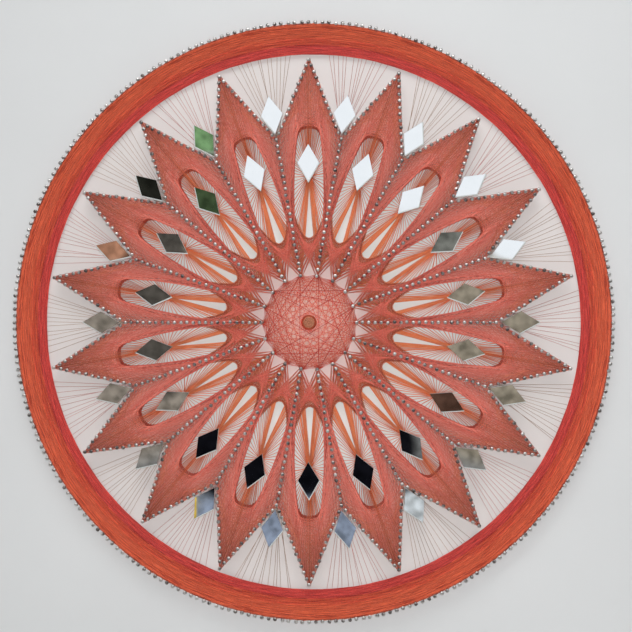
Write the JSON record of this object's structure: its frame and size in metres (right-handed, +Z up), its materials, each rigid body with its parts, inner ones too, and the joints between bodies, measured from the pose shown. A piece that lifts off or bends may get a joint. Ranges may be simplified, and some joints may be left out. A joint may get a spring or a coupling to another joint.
{
  "type": "string art sun mandala",
  "caption": "Square wall panel with a nailed sun mandala: wound thread rim, pointed petals and centre disc, rhombic mirrors, copper stud and a swinging hanging ring in the back.",
  "frame": {"origin": "middle of the board's back face, on the wall plane", "axes": "+Z up along the wall, +X to the right seen from the front, +Y into the wall; the pattern faces -Y"},
  "size_m": [0.53, 0.037, 0.53],
  "materials": {
    "board_paint": "matt white paint on board",
    "nail_steel": "bright drawn steel",
    "thread_red": "wound red cotton thread",
    "thread_rose": "wound rose-red cotton thread",
    "thread_orange": "wound orange cotton thread",
    "thread_fan": "sparse pale orange cotton thread",
    "mirror_glass": "silvered glass with ground edges",
    "stud_copper": "polished copper plating",
    "hanger_steel": "zinc-plated steel"
  },
  "bodies": {
    "panel": {"backing_board": "board_paint", "rim_nails": "nail_steel", "tip_nails": "nail_steel", "shoulder_nails": "nail_steel", "notch_nails": "nail_steel", "rib_nails": "nail_steel", "hub_nails": "nail_steel", "fan_nails": "nail_steel", "outer_mirror_nails": "nail_steel", "rim_thread_core": "thread_red", "rim_thread": "thread_orange", "fan_thread": "thread_fan", "petal_thread_core": "thread_rose", "petal_thread": "thread_red", "disc_thread_core": "thread_rose", "disc_thread": "thread_red", "inner_mirror_01": "mirror_glass", "inner_mirror_02": "mirror_glass", "inner_mirror_03": "mirror_glass", "inner_mirror_04": "mirror_glass", "inner_mirror_05": "mirror_glass", "inner_mirror_06": "mirror_glass", "inner_mirror_07": "mirror_glass", "inner_mirror_08": "mirror_glass", "inner_mirror_09": "mirror_glass", "inner_mirror_10": "mirror_glass", "inner_mirror_11": "mirror_glass", "inner_mirror_12": "mirror_glass", "inner_mirror_13": "mirror_glass", "inner_mirror_14": "mirror_glass", "inner_mirror_15": "mirror_glass", "inner_mirror_16": "mirror_glass", "inner_mirror_17": "mirror_glass", "inner_mirror_18": "mirror_glass", "outer_mirror_01": "mirror_glass", "outer_mirror_02": "mirror_glass", "outer_mirror_03": "mirror_glass", "outer_mirror_04": "mirror_glass", "outer_mirror_05": "mirror_glass", "outer_mirror_06": "mirror_glass", "outer_mirror_07": "mirror_glass", "outer_mirror_08": "mirror_glass", "outer_mirror_09": "mirror_glass", "outer_mirror_10": "mirror_glass", "outer_mirror_11": "mirror_glass", "outer_mirror_12": "mirror_glass", "outer_mirror_13": "mirror_glass", "outer_mirror_14": "mirror_glass", "outer_mirror_15": "mirror_glass", "outer_mirror_16": "mirror_glass", "outer_mirror_17": "mirror_glass", "outer_mirror_18": "mirror_glass", "centre_stud": "stud_copper", "hanger_strap": "hanger_steel", "upper_hanger_screw": "hanger_steel", "lower_hanger_screw": "hanger_steel"},
    "ring": {"hanging_ring": "hanger_steel"}
  },
  "joints": [
    {"name": "ring_swing", "type": "hinge", "parent": "panel", "child": "ring", "pos_m": [0, -0.0038, 0.19], "axis": [-1, 0, 0], "range_deg": [0, 175]}
  ]
}
